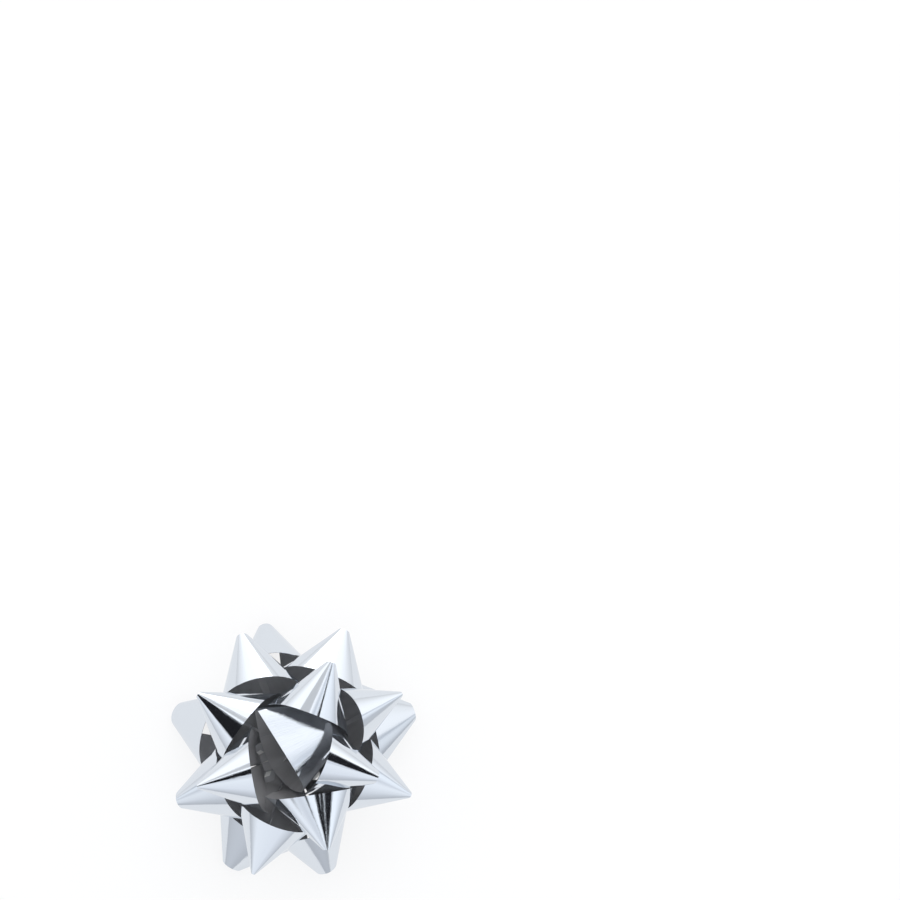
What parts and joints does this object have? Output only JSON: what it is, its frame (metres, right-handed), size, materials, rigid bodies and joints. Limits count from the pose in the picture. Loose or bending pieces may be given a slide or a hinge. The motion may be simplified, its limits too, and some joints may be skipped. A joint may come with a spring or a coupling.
{
  "type": "gift bow",
  "caption": "Star gift bow of metallised ribbon loops around a centre loop, stapled to a base card with an adhesive foam pad and a peel-off liner.",
  "frame": {"origin": "middle of the release liner's square underside, where the bow rests", "axes": "+Z along the bow's axis away from the gift, +X towards the liner's finger tab"},
  "size_m": [0.0883, 0.0896, 0.0452],
  "materials": {
    "ribbon": "mirror-bright metallised film outside, dark satin film inside",
    "staple_wire": "bright galvanised wire",
    "card": "plain uncoated white card",
    "foam": "white closed-cell foam with an adhesive film",
    "liner": "smooth siliconised paper"
  },
  "bodies": {
    "bow": {"lower_loop_1": "ribbon", "lower_loop_2": "ribbon", "lower_loop_3": "ribbon", "lower_loop_4": "ribbon", "lower_loop_5": "ribbon", "lower_loop_6": "ribbon", "lower_loop_7": "ribbon", "lower_loop_8": "ribbon", "upper_loop_1": "ribbon", "upper_loop_2": "ribbon", "upper_loop_3": "ribbon", "upper_loop_4": "ribbon", "upper_loop_5": "ribbon", "upper_loop_6": "ribbon", "upper_loop_7": "ribbon", "upper_loop_8": "ribbon", "centre_loop": "ribbon", "staple": "staple_wire", "base_card": "card", "foam_pad": "foam"},
    "release_liner": {"release_liner": "liner"}
  },
  "joints": [
    {"name": "liner_peel", "type": "hinge", "parent": "bow", "child": "release_liner", "pos_m": [-0.009, 0, 0.00015], "axis": [0, 1, 0], "range_deg": [0, 180]}
  ]
}
